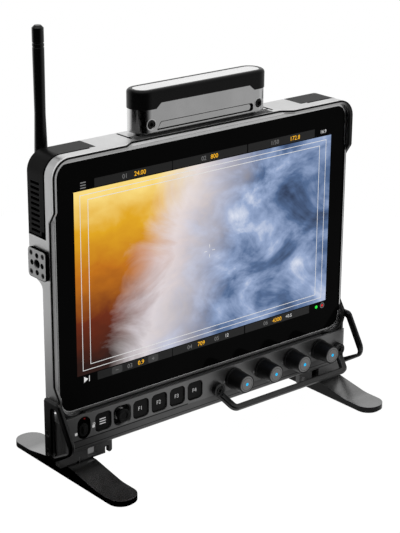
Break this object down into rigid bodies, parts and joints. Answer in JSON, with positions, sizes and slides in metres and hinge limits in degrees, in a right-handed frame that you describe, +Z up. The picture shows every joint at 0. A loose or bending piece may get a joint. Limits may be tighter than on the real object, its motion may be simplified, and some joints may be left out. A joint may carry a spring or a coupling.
{
  "type": "camera field monitor",
  "caption": "Rugged camera field monitor: framed screen over a control panel with turning knobs, keys and joystick, guard bar, top receiver, folding antenna and flat feet.",
  "frame": {"origin": "on the table, midway between the feet and half way along them", "axes": "+X to the right of someone facing the screen, +Y away from them, +Z up"},
  "size_m": [0.2578, 0.1194, 0.2882],
  "materials": {
    "chassis_metal": "bead-blasted, clear anodised",
    "bezel_metal": "satin, polished edge",
    "black_rubber": "matte",
    "screen_glass": "glossy, black printed border",
    "screen_panel": "glossy",
    "circuit_board": "solder mask",
    "sink_metal": "extruded",
    "black_plastic": "fine moulded texture",
    "cover_metal": "black anodised",
    "vent_metal": "dark anodised, ribbed",
    "plate_metal": "anodised",
    "black_screw": "black oxide",
    "jack_metal": "nickel plated",
    "antenna_plastic": "smooth",
    "antenna_rubber": "smooth satin",
    "receiver_metal": "grey anodised",
    "radome_plastic": "satin",
    "panel_metal": "dark grey anodised",
    "key_plastic": "silicone touch",
    "stick_plastic": "glossy",
    "knob_metal": "black anodised",
    "knob_cap_metal": "grey anodised",
    "shaft_steel": "ground",
    "guard_metal": "black anodised",
    "foot_metal": "dark grey powder coat"
  },
  "bodies": {
    "monitor": {"chassis": "chassis_metal", "edge_gasket": "black_rubber", "front_bezel": "bezel_metal", "cover_glass": "screen_glass", "lcd_module": "screen_panel", "main_board": "circuit_board", "heat_sink": "sink_metal", "fan_frame": "black_plastic", "rear_cover": "cover_metal", "left_corner_cap": "black_plastic", "right_corner_cap": "black_plastic", "top_vent_strip": "vent_metal", "accessory_plate": "plate_metal", "small_screws": "black_screw", "rear_jacks": "jack_metal", "antenna_connector": "jack_metal", "receiver_body": "receiver_metal", "receiver_cap": "radome_plastic", "receiver_latch_bar": "receiver_metal", "receiver_board": "circuit_board", "hex_screws": "black_screw", "control_housing": "panel_metal", "control_back_cover": "cover_metal", "control_vent_strip": "vent_metal", "control_board": "circuit_board", "encoder_bodies": "black_plastic", "key_switches": "black_plastic", "joystick_base": "black_plastic", "guard_bar": "guard_metal", "left_bracket": "guard_metal", "right_bracket": "guard_metal", "left_foot_mount": "guard_metal", "right_foot_mount": "guard_metal", "left_foot": "foot_metal", "right_foot": "foot_metal", "foot_pads": "black_rubber", "stand_screws": "black_screw"},
    "knob_a": {"knob_a_grip": "knob_metal", "knob_a_cap": "knob_cap_metal", "knob_a_shaft": "shaft_steel"},
    "knob_b": {"knob_b_grip": "knob_metal", "knob_b_cap": "knob_cap_metal", "knob_b_shaft": "shaft_steel"},
    "knob_c": {"knob_c_grip": "knob_metal", "knob_c_cap": "knob_cap_metal", "knob_c_shaft": "shaft_steel"},
    "knob_d": {"knob_d_grip": "knob_metal", "knob_d_cap": "knob_cap_metal", "knob_d_shaft": "shaft_steel"},
    "menu_key": {"key_menu": "key_plastic"},
    "f1_key": {"key_f1": "key_plastic"},
    "f2_key": {"key_f2": "key_plastic"},
    "f3_key": {"key_f3": "key_plastic"},
    "f4_key": {"key_f4": "key_plastic"},
    "stick_gimbal": {"joystick_ring": "shaft_steel"},
    "stick": {"joystick_stick": "stick_plastic"},
    "lock": {"lock_slider": "key_plastic"},
    "antenna_swivel": {"antenna_knuckle": "antenna_plastic"},
    "antenna": {"antenna_whip": "antenna_rubber"},
    "fan": {"fan_rotor": "black_plastic"}
  },
  "joints": [
    {"name": "knob_a_turn", "type": "hinge", "parent": "monitor", "child": "knob_a", "pos_m": [0.01759, -0.00945, 0.0347], "axis": [0, -1, 0], "continuous": true},
    {"name": "knob_b_turn", "type": "hinge", "parent": "monitor", "child": "knob_b", "pos_m": [0.04439, -0.00945, 0.0347], "axis": [0, -1, 0], "continuous": true},
    {"name": "knob_c_turn", "type": "hinge", "parent": "monitor", "child": "knob_c", "pos_m": [0.07118, -0.00945, 0.0347], "axis": [0, -1, 0], "continuous": true},
    {"name": "knob_d_turn", "type": "hinge", "parent": "monitor", "child": "knob_d", "pos_m": [0.09798, -0.00945, 0.0347], "axis": [0, -1, 0], "continuous": true},
    {"name": "key_menu_press", "type": "slide", "parent": "monitor", "child": "menu_key", "axis": [0, 1, 0], "range_m": [0, 0.0012], "stiffness_N_per_m": 500},
    {"name": "key_f1_press", "type": "slide", "parent": "monitor", "child": "f1_key", "axis": [0, 1, 0], "range_m": [0, 0.0012], "stiffness_N_per_m": 500},
    {"name": "key_f2_press", "type": "slide", "parent": "monitor", "child": "f2_key", "axis": [0, 1, 0], "range_m": [0, 0.0012], "stiffness_N_per_m": 500},
    {"name": "key_f3_press", "type": "slide", "parent": "monitor", "child": "f3_key", "axis": [0, 1, 0], "range_m": [0, 0.0012], "stiffness_N_per_m": 500},
    {"name": "key_f4_press", "type": "slide", "parent": "monitor", "child": "f4_key", "axis": [0, 1, 0], "range_m": [0, 0.0012], "stiffness_N_per_m": 500},
    {"name": "stick_up_down", "type": "hinge", "parent": "monitor", "child": "stick_gimbal", "pos_m": [-0.0773, -0.00515, 0.0347], "axis": [1, 0, 0], "range_deg": [-12, 12], "stiffness_Nm_per_rad": 0.02},
    {"name": "stick_left_right", "type": "hinge", "parent": "stick_gimbal", "child": "stick", "pos_m": [-0.0773, -0.00515, 0.0347], "axis": [0, 0, 1], "range_deg": [-12, 12], "stiffness_Nm_per_rad": 0.02},
    {"name": "lock_slide", "type": "slide", "parent": "monitor", "child": "lock", "axis": [0, 0, 1], "range_m": [0, 0.0035]},
    {"name": "antenna_turn", "type": "hinge", "parent": "monitor", "child": "antenna_swivel", "pos_m": [-0.11, 0.02735, 0.1952], "axis": [0, 1, 0], "range_deg": [-180, 180]},
    {"name": "antenna_fold", "type": "hinge", "parent": "antenna_swivel", "child": "antenna", "pos_m": [-0.11, 0.02735, 0.1952], "axis": [1, 0, 0], "range_deg": [-90, 0]},
    {"name": "fan_spin", "type": "hinge", "parent": "monitor", "child": "fan", "pos_m": [0.068, 0.012, 0.17555], "axis": [0, 1, 0], "continuous": true}
  ]
}
